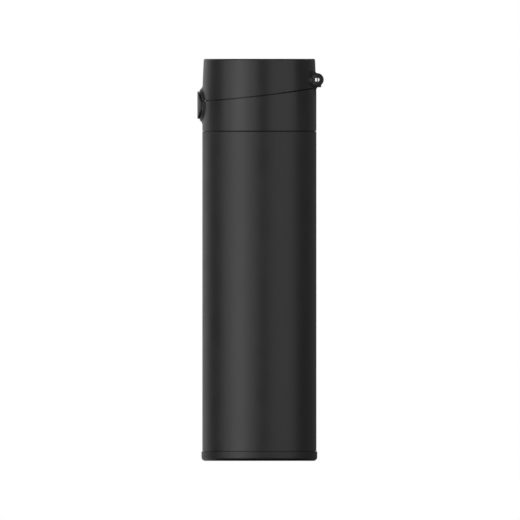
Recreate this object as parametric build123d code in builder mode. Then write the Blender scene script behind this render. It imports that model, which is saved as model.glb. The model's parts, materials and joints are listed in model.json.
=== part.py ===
from build123d import *
import os
from math import cos, radians, sin, sqrt, tan

os.makedirs("parts", exist_ok=True)

# Vacuum flask with a one-touch flip lid. Millimetres, +Z up, origin at the
# centre of the underside. The button faces -X and the hinge is at +X.

# Driving dimensions
TOTAL_H = 234.0
BODY_R = 33.2          # powder-coated steel body
BASE_R = 33.7          # plastic base ring
BASE_H = 5.5
BASE_EDGE = 2.2        # rounding under the base ring
SHELL_FOOT_Z = 5.6     # lower edge of the visible steel
SHELL_FOOT_EDGE = 0.15
SHELL_FOOT_R = 32.5    # necked-in foot that the base ring grips
SHELL_BOTTOM_Z = 2.2
SHOULDER_Z = 191.8
SHOULDER_EDGE = 0.4
SPIGOT_R = 32.2        # raised step that the collar laps over
SPIGOT_Z = 192.3
NECK_R = 27.0
NECK_BORE_R = 24.5
NECK_TOP_Z = 203.6
SHELL_T = 0.4
LINER_T = 0.3
LINER_R = 28.6
LINER_BOTTOM_Z = 8.0

COLLAR_Z = 191.9       # lower edge of the lid
COLLAR_EDGE = 0.4
COLLAR_RELIEF_R = 32.4 # recess under the collar for the spigot
COLLAR_RELIEF_Z = 192.55
LID_BORE_R = 31.0
TAPER_Z = 219.2        # the cap is straight below this and tapers above it
CAP_TOP_R = 32.4
CAP_TOP_EDGE = 0.9
CAP_WALL = 2.0
PART_FRONT_Z = 209.35  # parting line at the front, the axis and the rear
PART_MID_Z = 212.4
PART_REAR_Z = 217.1
PART_GAP = 0.4
LAP_IN_R = 30.05       # lip of the collar that stands in a rebate of the cap
LAP_OUT_R = 31.2
LAP_GAP = 0.3
LAP_H = 1.2            # its height above the parting line
LAP_FOOT_Z = 208.4
LAP_END_X = 12.0       # it stops short of the hinge, where the cap swings inwards

THREAD_PITCH = 4.0
THREAD_H = 1.1
THREAD_BORE_R = 28.5
THREAD_BASE_W = 2.3
THREAD_CREST_W = 1.3
THREAD_START_Z = 194.8

BUTTON_Z = 207.05
BUTTON_R = 8.0
BUTTON_FACE_X = -36.1
BUTTON_FACE_R = 19.0   # the face is curved about an upright axis
POCKET_R = 8.6
POCKET_FLOOR_X = -32.0
BOSS_RIM_R = 8.95
BOSS_FACE_X = -34.8
BOSS_FACE_R = 24.0
BOSS_FLANK = 29.0      # degrees
BOSS_FILLET = 3.0
PIVOT_X = -32.7
PIVOT_Z = 207.0
PIVOT_PIN_R = 0.6
SPRING_Z = 203.0       # height of the button's return spring

HINGE_X = 33.6
HINGE_Z = 221.8
HINGE_PIN_R = 1.4
EAR_R = 3.87
EAR_OUT_Y = 11.0
EAR_IN_Y = 7.4
KNUCKLE_R = 3.2
KNUCKLE_Y = 7.2
COIL_SPACE_Y = 4.4

# The parting line is one shallow arc through its three heights, centred above.
CHORD = sqrt((2 * BODY_R) ** 2 + (PART_REAR_Z - PART_FRONT_Z) ** 2)
RISE = (PART_REAR_Z - PART_FRONT_Z) / CHORD
RUN = 2 * BODY_R / CHORD
SAG = ((PART_FRONT_Z + PART_REAR_Z) / 2 - PART_MID_Z) * RUN
PART_R = CHORD ** 2 / (8 * SAG) + SAG / 2
PART_X = -RISE * (PART_R - SAG)
PART_Z = (PART_FRONT_Z + PART_REAR_Z) / 2 + RUN * (PART_R - SAG)
PART_CUT = Location((PART_X, 0, PART_Z), (90, 0, 0))


def outline(points, plane=Plane.XZ):
    """A face inside the closed line through the points."""
    with BuildSketch(plane) as face:
        with BuildLine():
            Polyline(*points, close=True)
        make_face()
    return face.sketch


def disc(radius, plane):
    """A round face."""
    with BuildSketch(plane) as face:
        Circle(radius)
    return face.sketch


def slab(x, y, z):
    """A box between two x, two y and two z values."""
    size = [high - low for low, high in (x, y, z)]
    middle = [(high + low) / 2 for low, high in (x, y, z)]
    return Box(*size, mode=Mode.PRIVATE).moved(Location(middle))


def rod(radius, y, x=HINGE_X, z=HINGE_Z):
    """A round bar along Y between two y values."""
    bar = Cylinder(radius, y[1] - y[0], rotation=(90, 0, 0), mode=Mode.PRIVATE)
    return bar.moved(Location((x, (y[0] + y[1]) / 2, z)))


def post(radius, x, z=BUTTON_Z):
    """A round bar along X between two x values."""
    bar = Cylinder(radius, x[1] - x[0], rotation=(0, 90, 0), mode=Mode.PRIVATE)
    return bar.moved(Location(((x[0] + x[1]) / 2, 0, z)))


def ridge(radius, depth, bite, start_z, turns):
    """A helical thread ridge standing depth out of a wall and biting into it."""
    half_base, half_crest = THREAD_BASE_W / 2, THREAD_CREST_W / 2
    grow = bite * (half_base - half_crest) / THREAD_H
    side = 1 if depth > 0 else -1
    section = outline([(-side * bite, -half_base - grow), (depth, -half_crest),
                       (depth, half_crest), (-side * bite, half_base + grow)],
                      Plane(origin=(radius, 0, start_z), x_dir=(1, 0, 0), z_dir=(0, -1, 0)))
    path = Helix(THREAD_PITCH, THREAD_PITCH * turns, radius, center=(0, 0, start_z),
                 mode=Mode.PRIVATE)
    return sweep(section, path=path, is_frenet=True, mode=Mode.PRIVATE)


def lap_band(in_r, out_r, rise, end_x):
    """Part ring, up to this far above the parting line and back to an x value."""
    ring = revolve(outline([(in_r, LAP_FOOT_Z), (out_r, LAP_FOOT_Z), (out_r, 220), (in_r, 220)]),
                   axis=Axis.Z, mode=Mode.PRIVATE)
    above = Cylinder(PART_R - rise, 200, mode=Mode.PRIVATE).moved(PART_CUT)
    return (ring - above) & slab((-40, end_x), (-40, 40), (200, 230))


def shell_wall(inset):
    """Half section of the outer body, moved inwards by inset."""
    wide, low, high = BODY_R - inset, SHELL_FOOT_Z + inset, SHOULDER_Z - inset
    edge_r, corner_r = (max(r - inset, 0.1) for r in (SHELL_FOOT_EDGE, SHOULDER_EDGE))
    with BuildSketch(Plane.XZ) as face:
        with BuildLine():
            foot = Polyline((0, SHELL_BOTTOM_Z), (SHELL_FOOT_R - inset, SHELL_BOTTOM_Z),
                            (SHELL_FOOT_R - inset, low), (wide - edge_r, low))
            edge = CenterArc((wide - edge_r, low + edge_r), edge_r, -90, 90)
            side = Line(edge @ 1, (wide, high - corner_r))
            corner = CenterArc((wide - corner_r, high - corner_r), corner_r, 0, 90)
            step = Polyline(corner @ 1, (SPIGOT_R - inset, high),
                            (SPIGOT_R - inset, SPIGOT_Z - inset),
                            (NECK_R + 0.8, SPIGOT_Z - inset))
            root = CenterArc((NECK_R + 0.8, SPIGOT_Z + 0.8), 0.8 + inset, -90, -90)
            neck = Polyline(root @ 1, (NECK_R - inset, NECK_TOP_Z), (0, NECK_TOP_Z),
                            (0, SHELL_BOTTOM_Z))
        make_face()
    return face.sketch


def liner_wall(inset):
    """Half section of the inner bottle, moved inwards by inset."""
    wide, narrow = LINER_R - inset, NECK_BORE_R + LINER_T - inset
    with BuildSketch(Plane.XZ) as face:
        with BuildLine():
            body = Polyline((0, LINER_BOTTOM_Z), (wide, LINER_BOTTOM_Z), (wide, 179.0))
            slope = Spline(body @ 1, (narrow, 189.0), tangents=((0, 1), (0, 1)))
            top = Polyline(slope @ 1, (narrow, NECK_TOP_Z), (0, NECK_TOP_Z),
                           (0, LINER_BOTTOM_Z))
        make_face()
    return face.sketch


# ---------------------------------------------------------------- bottle
with BuildPart() as outer_shell:
    revolve(shell_wall(0), axis=Axis.Z)
    revolve(shell_wall(SHELL_T), axis=Axis.Z, mode=Mode.SUBTRACT)
    add(ridge(NECK_R, THREAD_H, 0.3, THREAD_START_Z, 1.5))
outer_shell.part.label = "outer_shell"

with BuildPart() as inner_liner:
    revolve(liner_wall(0), axis=Axis.Z)
    revolve(liner_wall(LINER_T), axis=Axis.Z, mode=Mode.SUBTRACT)
    # rolled lip that is welded to the outer neck
    revolve(outline([(NECK_BORE_R, NECK_TOP_Z - 0.6), (NECK_R - SHELL_T - 0.02, NECK_TOP_Z - 0.6),
                     (NECK_R - SHELL_T - 0.02, NECK_TOP_Z), (NECK_BORE_R, NECK_TOP_Z)]),
            axis=Axis.Z)
inner_liner.part.label = "inner_liner"

# dished disc that closes the inner bottle
with BuildPart() as liner_base:
    revolve(outline([(0, 11.5), (LINER_R - LINER_T - 1.6, 11.5), (LINER_R - LINER_T - 0.6, 10.5),
                     (LINER_R - LINER_T - 0.6, LINER_BOTTOM_Z),
                     (LINER_R - LINER_T - 0.04, LINER_BOTTOM_Z),
                     (LINER_R - LINER_T - 0.04, 10.9), (LINER_R - LINER_T - 1.14, 12.0),
                     (0, 12.0)]), axis=Axis.Z)
liner_base.part.label = "liner_base"

# dished disc that closes the outer body, pierced for the evacuation port
with BuildPart() as outer_base_disc:
    rim = SHELL_FOOT_R - SHELL_T - 0.04
    revolve(outline([(0, 4.5), (rim - 1.8, 4.5), (rim - 0.6, 3.4), (rim - 0.6, SHELL_BOTTOM_Z),
                     (rim, SHELL_BOTTOM_Z), (rim, 3.8), (rim - 1.4, 5.1), (0, 5.1)]),
            axis=Axis.Z)
    Cylinder(1.25, 20, mode=Mode.SUBTRACT)
outer_base_disc.part.label = "outer_base_disc"

with BuildPart() as vacuum_seal_bead:
    revolve(outline([(0, 2.9), (1.6, 3.2), (2.6, 3.9), (2.8, 4.45), (1.2, 4.46), (1.2, 5.4),
                     (0, 5.7)]), axis=Axis.Z)
vacuum_seal_bead.part.label = "vacuum_seal_bead"

with BuildPart() as getter_capsule:
    with BuildSketch(Plane.XY.offset(5.15)):
        with Locations((14, 0)):
            Circle(4.0)
    extrude(amount=1.4)
    fillet(getter_capsule.faces().sort_by(Axis.Z)[-1].edges(), 0.4)
getter_capsule.part.label = "getter_capsule"

with BuildPart() as copper_foil:
    with BuildSketch(Plane.XY.offset(14)):
        Circle(LINER_R + 0.23)
        Circle(LINER_R + 0.13, mode=Mode.SUBTRACT)
    extrude(amount=160)
copper_foil.part.label = "copper_foil"

with BuildPart() as base_cap:
    revolve(outline([(0, 0.6), (24.0, 0.6), (25.0, 0), (BASE_R, 0), (BASE_R, BASE_H),
                     (SHELL_FOOT_R + 0.06, BASE_H), (SHELL_FOOT_R + 0.06, 2.1), (0, 2.1)]),
            axis=Axis.Z)
    outer = base_cap.edges().filter_by(GeomType.CIRCLE).group_by(SortBy.RADIUS)[-1]
    fillet(outer.sort_by(Axis.Z)[0], BASE_EDGE)
    chamfer(outer.sort_by(Axis.Z)[-1], 0.1)
base_cap.part.label = "base_cap"

# ---------------------------------------------------------------- mouthpiece
with BuildPart() as mouthpiece:
    with BuildSketch(Plane.XZ):
        with BuildLine():
            inside = Polyline((21.4, 197.0), (19.8, 205.0), (18.2, 211.0), (16.6, 216.4),
                              (17.3, 220.9))
            lip = ThreePointArc(inside @ 1, (18.1, 221.9), (18.9, 221.0))
            outside = Polyline(lip @ 1, (21.5, 206.2), (27.2, 206.2), (27.2, 204.75),
                               (23.0, 204.75), (23.0, 197.0), (21.4, 197.0))
        make_face()
    revolve(axis=Axis.Z)
mouthpiece.part.label = "mouthpiece"

with BuildPart() as neck_seal:
    revolve(outline([(23.1, 199.0), (23.7, 199.0), (23.7, 199.9), (24.2, 200.3), (24.2, 200.8),
                     (23.7, 201.2), (23.7, 201.9), (24.2, 202.3), (24.2, 202.8), (23.7, 203.2),
                     (23.7, 203.9), (26.9, 203.9), (26.9, 204.7), (23.1, 204.7)]), axis=Axis.Z)
neck_seal.part.label = "neck_seal"

# ---------------------------------------------------------------- lid blank
# Raised boss for the button: a cone about X under a gently curved front.
with BuildPart() as boss:
    reach = -BOSS_FACE_X - 25.0
    revolve(outline([(-36.0, 0), (-36.0, BOSS_RIM_R - 1.2 * tan(radians(BOSS_FLANK))),
                     (-25.0, BOSS_RIM_R + reach * tan(radians(BOSS_FLANK))), (-25.0, 0)],
                    Plane.XY.offset(BUTTON_Z)),
            axis=Axis((0, 0, BUTTON_Z), (1, 0, 0)))
    with BuildSketch(Plane.XY.offset(BUTTON_Z - 20)):
        with Locations((BOSS_FACE_X + BOSS_FACE_R, 0)):
            Circle(BOSS_FACE_R)
    extrude(amount=40, mode=Mode.INTERSECT)

# Outside of the whole lid, which is parted into the collar and the cap.
with BuildPart() as lid_blank:
    revolve(outline([(0, COLLAR_Z), (BODY_R, COLLAR_Z), (BODY_R, TAPER_Z), (CAP_TOP_R, TOTAL_H),
                     (0, TOTAL_H)]), axis=Axis.Z)
    add(boss.part)
    joint = lid_blank.edges().filter_by(GeomType.BSPLINE).sort_by(SortBy.LENGTH)[-1]
    fillet(joint, BOSS_FILLET)
    rims = lid_blank.edges().filter_by(GeomType.CIRCLE).sort_by(Axis.Z)
    fillet(rims[0], COLLAR_EDGE)
    fillet(lid_blank.edges().filter_by(GeomType.CIRCLE).sort_by(Axis.Z)[-1], CAP_TOP_EDGE)

# ---------------------------------------------------------------- collar and its insert
with BuildPart() as collar:
    add(lid_blank.part)
    with Locations(PART_CUT):
        Cylinder(PART_R + PART_GAP / 2, 200, mode=Mode.SUBTRACT)
    Cylinder(LID_BORE_R, 500, mode=Mode.SUBTRACT)
    revolve(outline([(LID_BORE_R - 1, COLLAR_Z - 1), (COLLAR_RELIEF_R, COLLAR_Z - 1),
                     (COLLAR_RELIEF_R, COLLAR_RELIEF_Z), (LID_BORE_R - 1, COLLAR_RELIEF_Z)]),
            axis=Axis.Z, mode=Mode.SUBTRACT)
    # lip of the lap joint behind the parting line
    add(lap_band(LAP_IN_R, LAP_OUT_R, LAP_H, LAP_END_X))
    # button pocket with a window for the lever's hub and a hole for its spring
    add(post(POCKET_R, (-40, POCKET_FLOOR_X)), mode=Mode.SUBTRACT)
    add(slab((-40, -30.7), (-3.5, 3.5), (205.3, 212)), mode=Mode.SUBTRACT)
    add(post(2.4, (-40, -29), SPRING_Z), mode=Mode.SUBTRACT)
    for side in (-1, 1):
        edges = sorted((side * 3.6, side * 4.6))
        add(slab((PIVOT_X, -31.2), edges, (PIVOT_Z - 1.05, PIVOT_Z + 1.05)))
        add(rod(1.05, edges, PIVOT_X, PIVOT_Z))
        add(rod(PIVOT_PIN_R + 0.01, edges, PIVOT_X, PIVOT_Z), mode=Mode.SUBTRACT)
    # hinge bracket behind the cap, with a square stop below the knuckles
    extrude(outline([(30.6, 212.0), (33.0, 212.0), (33.0, 216.0), (33.9, 217.4), (36.0, 217.4),
                     (36.0, 219.7), (HINGE_X, HINGE_Z), (30.6, HINGE_Z)]),
            amount=KNUCKLE_Y, both=True)
    add(slab((28.5, LID_BORE_R + 0.2), (-KNUCKLE_Y, KNUCKLE_Y), (212.0, 218.0))
        - Cylinder(29.9, 500, mode=Mode.PRIVATE))
    add(rod(KNUCKLE_R, (-KNUCKLE_Y, KNUCKLE_Y)))
    add(rod(3.3, (-COIL_SPACE_Y, COIL_SPACE_Y)), mode=Mode.SUBTRACT)
    add(slab((28, HINGE_X), (-COIL_SPACE_Y, COIL_SPACE_Y), (219.6, 226)), mode=Mode.SUBTRACT)
    add(slab((35.4, 37), (-4.3, -3.3), (218.0, 222)), mode=Mode.SUBTRACT)
    add(rod(HINGE_PIN_R + 0.05, (-20, 20)), mode=Mode.SUBTRACT)
collar.part.label = "collar"

# threaded insert, with the deck that covers the neck round the mouthpiece
with BuildPart() as thread_ring:
    revolve(outline([(THREAD_BORE_R, 192.95), (30.9, 192.95), (30.9, 197.6), (30.2, 198.4),
                     (30.2, 205.9), (30.9, 206.6), (30.9, 208.2), (22.6, 208.2), (22.6, 206.3),
                     (THREAD_BORE_R, 206.3)]),
            axis=Axis.Z)
    add(ridge(THREAD_BORE_R, -THREAD_H, 0.4, THREAD_START_Z + THREAD_PITCH / 2, 1.0))
thread_ring.part.label = "thread_ring"

with BuildPart() as button_pivot_pin:
    add(rod(PIVOT_PIN_R, (-4.6, 4.6), PIVOT_X, PIVOT_Z))
button_pivot_pin.part.label = "button_pivot_pin"

# compression spring behind the lower half of the button
with BuildPart() as button_spring:
    COIL_R, WIRE_R = 1.5, 0.19
    start = (-33.0, 0, SPRING_Z)
    path = Helix(0.72, 2.52, COIL_R, center=start, direction=(1, 0, 0), mode=Mode.PRIVATE)
    section = disc(WIRE_R, Plane(origin=path @ 0, z_dir=path % 0))
    sweep(section, path=path, is_frenet=True)
button_spring.part.label = "button_spring"

# torsion spring on the hinge pin: one leg down in the stop, one up inside the cap
with BuildPart() as hinge_spring:
    COIL_R, WIRE_R, TURNS = 2.4, 0.4, 7.5
    LOW_Y, HIGH_Y = -3.8, 3.6
    with BuildLine() as wire:
        upright = Helix((HIGH_Y - LOW_Y) / TURNS, HIGH_Y - LOW_Y, COIL_R,
                        center=(HINGE_X, LOW_Y, HINGE_Z), direction=(0, 1, 0), mode=Mode.PRIVATE)
        coil = upright.rotate(Axis((HINGE_X, 0, HINGE_Z), (0, 1, 0)), 90)
        Line((coil @ 0) - (coil % 0) * 2.0, coil @ 0)
        add(coil)
        Line(coil @ 1, (coil @ 1) + (coil % 1) * 7.2)
    path = wire.wires()[0]
    sweep(disc(WIRE_R, Plane(origin=path @ 0, z_dir=path % 0)), path=path)
hinge_spring.part.label = "hinge_spring"

# ---------------------------------------------------------------- button
with BuildPart() as button_cap:
    add(post(BUTTON_R, (-38, -33.4)))
    with BuildSketch(Plane.XY.offset(BUTTON_Z - 20)):
        with Locations((BUTTON_FACE_X + BUTTON_FACE_R, 0)):
            Circle(BUTTON_FACE_R)
    extrude(amount=40, mode=Mode.INTERSECT)
    fillet(button_cap.edges().filter_by(GeomType.BSPLINE).sort_by(Axis.X)[0], 0.4)
    with BuildSketch(Plane.XY.offset(BUTTON_Z - 20)):
        with Locations((BUTTON_FACE_X + BUTTON_FACE_R, 0)):
            Circle(BUTTON_FACE_R - 1.5)
    hollow = extrude(amount=40, mode=Mode.PRIVATE)
    add(hollow.intersect(post(BUTTON_R - 1.2, (-38, -30))), mode=Mode.SUBTRACT)
button_cap.part.label = "button_cap"

with BuildPart() as latch_lever:
    with BuildSketch(Plane.XZ):
        with BuildLine():
            Polyline((-34.3, 201.2), (-33.3, 201.2), (-33.3, 205.9), (-31.6, 205.9),
                     (-31.6, 209.4), (-32.2, 211.5), (-32.2, 211.7), (-31.5, 211.7),
                     (-31.5, 212.2), (-32.6, 213.3), (-34.3, 213.3), close=True)
        make_face()
    extrude(amount=2.4, both=True)
    add(rod(1.3, (-3.3, 3.3), PIVOT_X, PIVOT_Z))
    add(post(0.9, (-33.4, -32.5), SPRING_Z))
    add(rod(PIVOT_PIN_R + 0.05, (-5, 5), PIVOT_X, PIVOT_Z), mode=Mode.SUBTRACT)
latch_lever.part.label = "latch_lever"

# ---------------------------------------------------------------- cap
with BuildPart() as cap_shell:
    add(lid_blank.part)
    with Locations(PART_CUT):
        Cylinder(PART_R - PART_GAP / 2, 200, mode=Mode.INTERSECT)
    # two ears that carry the hinge pin
    for side in (-1, 1):
        edges = sorted((side * EAR_IN_Y, side * EAR_OUT_Y))
        add(rod(EAR_R, edges))
        add(slab((30.0, HINGE_X), edges, (HINGE_Z - EAR_R, HINGE_Z + EAR_R)))
        blend = outline([(31.0, 225.0), (33.7, 225.67), (33.25, 225.85), (32.78, 226.6),
                         (31.0, 226.6)], Plane.XZ.offset(-edges[0]))
        extrude(blend, amount=edges[0] - edges[1])
    # hollow inside
    top_r = CAP_TOP_R - CAP_WALL
    revolve(outline([(0, 200), (LID_BORE_R, 200), (LID_BORE_R, TAPER_Z), (top_r, TOTAL_H - 3.0),
                     (top_r - 1.0, TOTAL_H - 2.0), (0, TOTAL_H - 2.0)]),
            axis=Axis.Z, mode=Mode.SUBTRACT)
    # rebate for the collar's lip, left solid where the latch hooks in
    rebate = lap_band(LID_BORE_R - 0.5, LAP_OUT_R + LAP_GAP, LAP_H + LAP_GAP, LAP_END_X + 1)
    add(rebate - slab((-40, -25), (-3.2, 3.2), (200, 230)), mode=Mode.SUBTRACT)
    # upper part of the button pocket, and the window its latch hooks into
    add(post(POCKET_R, (-40, POCKET_FLOOR_X)), mode=Mode.SUBTRACT)
    add(slab((-33, -29), (-2.9, 2.9), (211.3, 213.8)), mode=Mode.SUBTRACT)
    extrude(outline([(-33, 208), (-31.45, 208), (-31.45, 209.4), (-32.02, 211.4), (-33, 211.4)]),
            amount=2.9, both=True, mode=Mode.SUBTRACT)
    # skirt below the latch's ledge
    add(slab((-31.45, -31.0), (-2.4, 2.4), (208.9, 210.0)))
    # notch that clears the hinge bracket
    add(rod(3.65, (-EAR_IN_Y, EAR_IN_Y)), mode=Mode.SUBTRACT)
    add(slab((28, 40), (-EAR_IN_Y, EAR_IN_Y), (205, HINGE_Z)), mode=Mode.SUBTRACT)
    add(slab((28, 31.8), (3.0, 4.8), (222, 229.6)), mode=Mode.SUBTRACT)
    add(rod(HINGE_PIN_R + 0.01, (-20, 20)), mode=Mode.SUBTRACT)
    for y in ((-EAR_OUT_Y - 1, -EAR_OUT_Y + 0.5), (EAR_OUT_Y - 0.5, EAR_OUT_Y + 1)):
        add(rod(1.8, y), mode=Mode.SUBTRACT)
cap_shell.part.label = "cap_shell"

# cup inside the cap
with BuildPart() as cap_liner:
    revolve(outline([(28.5, 213.0), (29.6, 213.0), (29.6, 229.5), (28.3, 231.9), (0, 231.9),
                     (0, 230.5), (28.0, 230.5), (28.5, 229.5)]), axis=Axis.Z)
cap_liner.part.label = "cap_liner"

# post that holds the stopper
with BuildPart() as stopper_holder:
    revolve(outline([(0, 222.6), (15.0, 222.6), (15.0, 224.2), (9.8, 224.2), (9.8, 230.48),
                     (8.0, 230.48), (8.0, 224.2), (0, 224.2)]), axis=Axis.Z)
stopper_holder.part.label = "stopper_holder"

with BuildPart() as stopper_seal:
    revolve(outline([(0, 216.8), (16.3, 216.8), (17.0, 221.0), (17.0, 222.3), (18.6, 222.3),
                     (18.6, 224.9), (17.8, 225.4), (11.0, 225.4), (11.0, 224.25), (15.05, 224.25),
                     (15.05, 222.55), (0, 222.55)]), axis=Axis.Z)
stopper_seal.part.label = "stopper_seal"

with BuildPart() as hinge_pin:
    add(rod(HINGE_PIN_R, (-EAR_OUT_Y, EAR_OUT_Y)))
    chamfer(hinge_pin.edges().filter_by(GeomType.CIRCLE), 0.2)
hinge_pin.part.label = "hinge_pin"

for part in (outer_shell, inner_liner, liner_base, outer_base_disc, vacuum_seal_bead,
             getter_capsule, copper_foil, base_cap, mouthpiece, neck_seal, collar, thread_ring,
             button_pivot_pin, button_spring, hinge_spring, button_cap, latch_lever, cap_shell,
             cap_liner, stopper_holder, stopper_seal, hinge_pin):
    solid = part.part
    print(solid.label, len(solid.solids()), round(solid.volume, 1), solid.is_valid,
          [round(v, 2) for v in (*solid.bounding_box().min, *solid.bounding_box().max)])
    export_step(solid, "parts/%s.step" % solid.label)
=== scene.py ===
import json
from math import atan, cos, pi, radians, sin, sqrt, tan

import bmesh
import bpy
import numpy as np
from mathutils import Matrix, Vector


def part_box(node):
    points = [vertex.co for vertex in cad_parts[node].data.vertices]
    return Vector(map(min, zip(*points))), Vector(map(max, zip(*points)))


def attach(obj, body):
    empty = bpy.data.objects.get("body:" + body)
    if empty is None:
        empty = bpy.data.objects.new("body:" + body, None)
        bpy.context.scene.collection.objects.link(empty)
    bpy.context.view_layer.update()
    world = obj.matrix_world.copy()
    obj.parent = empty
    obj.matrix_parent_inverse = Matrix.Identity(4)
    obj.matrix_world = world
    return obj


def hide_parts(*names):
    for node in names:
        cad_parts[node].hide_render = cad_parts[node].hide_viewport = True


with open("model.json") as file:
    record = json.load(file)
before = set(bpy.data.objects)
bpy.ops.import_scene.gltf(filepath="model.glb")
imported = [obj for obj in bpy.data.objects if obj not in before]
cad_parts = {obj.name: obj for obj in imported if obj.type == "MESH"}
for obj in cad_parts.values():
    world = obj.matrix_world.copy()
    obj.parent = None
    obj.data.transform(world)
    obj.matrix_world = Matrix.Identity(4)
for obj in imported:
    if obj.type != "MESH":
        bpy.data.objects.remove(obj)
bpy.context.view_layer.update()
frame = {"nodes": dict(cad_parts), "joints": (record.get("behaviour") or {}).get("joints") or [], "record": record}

MM = 0.001
SHARP_ANGLE = radians(32)   # an edge that bends more than this is shaded sharp
MERGE_DISTANCE = 2e-6
scene = bpy.context.scene


# ------------------------------------------------------------------ materials
def node_tree(name):
    """A new material with a Principled shader; returns (material, nodes, links, shader)."""
    material = bpy.data.materials.new(name)
    material.use_nodes = True
    nodes, links = material.node_tree.nodes, material.node_tree.links
    return material, nodes, links, nodes["Principled BSDF"]


def noise(nodes, links, scale, detail, stretch=(1, 1, 1)):
    """A noise texture in object space, scale in features per metre."""
    place = nodes.new("ShaderNodeTexCoord")
    mapping = nodes.new("ShaderNodeMapping")
    mapping.inputs["Scale"].default_value = stretch
    texture = nodes.new("ShaderNodeTexNoise")
    texture.inputs["Scale"].default_value = scale
    texture.inputs["Detail"].default_value = detail
    links.new(place.outputs["Object"], mapping.inputs["Vector"])
    links.new(mapping.outputs["Vector"], texture.inputs["Vector"])
    return texture.outputs["Fac"]


def set_inputs(node, **values):
    """Sets a node's sockets, named with _ for each space."""
    for socket, value in values.items():
        node.inputs[socket.replace("_", " ")].default_value = value


def spread(nodes, links, value, low, high):
    """Maps the middle of a noise value to a range."""
    remap = nodes.new("ShaderNodeMapRange")
    set_inputs(remap, From_Min=0.3, From_Max=0.7, To_Min=low, To_Max=high)
    links.new(value, remap.inputs["Value"])
    return remap.outputs["Result"]


def bump(nodes, links, shader, layers):
    """Adds bump layers, each (height value, strength, distance in metres)."""
    last = None
    for height, strength, distance in layers:
        node = nodes.new("ShaderNodeBump")
        node.inputs["Strength"].default_value = strength
        node.inputs["Distance"].default_value = distance
        links.new(height, node.inputs["Height"])
        if last is not None:
            links.new(last.outputs["Normal"], node.inputs["Normal"])
        last = node
    links.new(last.outputs["Normal"], shader.inputs["Normal"])


MOTTLE = 60.0   # features per metre of the slow change in colour and gloss


def textured(name, colour, rough, grain, swell=None, metal=0.0, specular=0.5, tint=0.12,
             stretch=(1, 1, 1), **sockets):
    """A surface with mottled colour, uneven gloss and a bump of one or two sizes.

    rough is (low, high), grain and swell are (features per metre, strength, height in m)."""
    material, nodes, links, shader = node_tree(name)
    fine = noise(nodes, links, grain[0], 3.0, stretch)
    broad = noise(nodes, links, MOTTLE, 2.0)
    ramp = nodes.new("ShaderNodeMix")
    ramp.data_type = "RGBA"
    links.new(spread(nodes, links, broad, 0.0, 1.0), ramp.inputs["Factor"])
    for socket, gain in (("A", 1 - tint), ("B", 1 + tint)):
        ramp.inputs[socket].default_value = (*(c * gain for c in colour), 1.0)
    links.new(ramp.outputs["Result"], shader.inputs["Base Color"])
    links.new(spread(nodes, links, broad, rough[0], rough[1]), shader.inputs["Roughness"])
    set_inputs(shader, Metallic=metal, Specular_IOR_Level=specular, **sockets)
    layers = [(fine, grain[1], grain[2])]
    if swell:
        layers.insert(0, (noise(nodes, links, swell[0], 1.0), swell[1], swell[2]))
    bump(nodes, links, shader, layers)
    return material


MATERIALS = {
    "powder_coat": textured("powder_coat", (0.0165, 0.0165, 0.0168), (0.36, 0.42),
                            (5200, 0.35, 12e-6), (900, 0.25, 6e-6)),
    "lid_plastic": textured("lid_plastic", (0.0150, 0.0150, 0.0153), (0.30, 0.36),
                            (4200, 0.30, 10e-6)),
    "base_plastic": textured("base_plastic", (0.0135, 0.0135, 0.0138), (0.40, 0.48),
                             (4200, 0.35, 12e-6)),
    "button_plastic": textured("button_plastic", (0.0145, 0.0145, 0.0148), (0.33, 0.40),
                               (4200, 0.30, 10e-6)),
    "insert_plastic": textured("insert_plastic", (0.050, 0.050, 0.053), (0.28, 0.38),
                               (2600, 0.18, 8e-6)),
    "latch_plastic": textured("latch_plastic", (0.035, 0.035, 0.037), (0.25, 0.33),
                              (2600, 0.15, 8e-6)),
    "silicone": textured("silicone", (0.55, 0.56, 0.55), (0.42, 0.55), (1800, 0.15, 10e-6),
                         specular=0.4, Subsurface_Weight=0.15),
    "steel_liner": textured("steel_liner", (0.58, 0.57, 0.56), (0.20, 0.30), (900, 0.20, 6e-6),
                            metal=1.0, tint=0.05, stretch=(1, 1, 12)),
    "steel_fittings": textured("steel_fittings", (0.52, 0.52, 0.52), (0.28, 0.40),
                               (1500, 0.25, 8e-6), metal=1.0, tint=0.06),
    "steel_pin": textured("steel_pin", (0.82, 0.82, 0.82), (0.16, 0.24), (2500, 0.15, 4e-6),
                          metal=1.0, tint=0.03),
    "spring_steel": textured("spring_steel", (0.45, 0.45, 0.46), (0.24, 0.34),
                             (3500, 0.2, 4e-6), metal=1.0, tint=0.06),
    "copper": textured("copper", (0.83, 0.41, 0.25), (0.22, 0.36), (500, 0.5, 40e-6),
                       metal=1.0, tint=0.08),
    "getter_metal": textured("getter_metal", (0.30, 0.29, 0.28), (0.40, 0.55),
                             (2500, 0.3, 10e-6), metal=1.0),
    "seal_glass": textured("seal_glass", (0.10, 0.09, 0.075), (0.10, 0.22), (900, 0.3, 20e-6)),
}
NODE_SLOTS = {entry["node"]: entry["material_slot"] for entry in frame["record"]["subparts"]}


# ------------------------------------------------------------------ mesh tools
def new_piece(name, points, faces, body, slot, replaced=()):
    """A closed mesh from points in mm, facing outwards, on a body and in a material slot."""
    mesh = bpy.data.meshes.new(name)
    mesh.from_pydata([tuple(p) for p in np.asarray(points) * MM], [], faces)
    obj = bpy.data.objects.new(name, mesh)
    scene.collection.objects.link(obj)
    clean(obj)
    dress(obj, slot)
    if body:
        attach(obj, body)
    if replaced:
        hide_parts(*replaced)
    return obj


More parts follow.
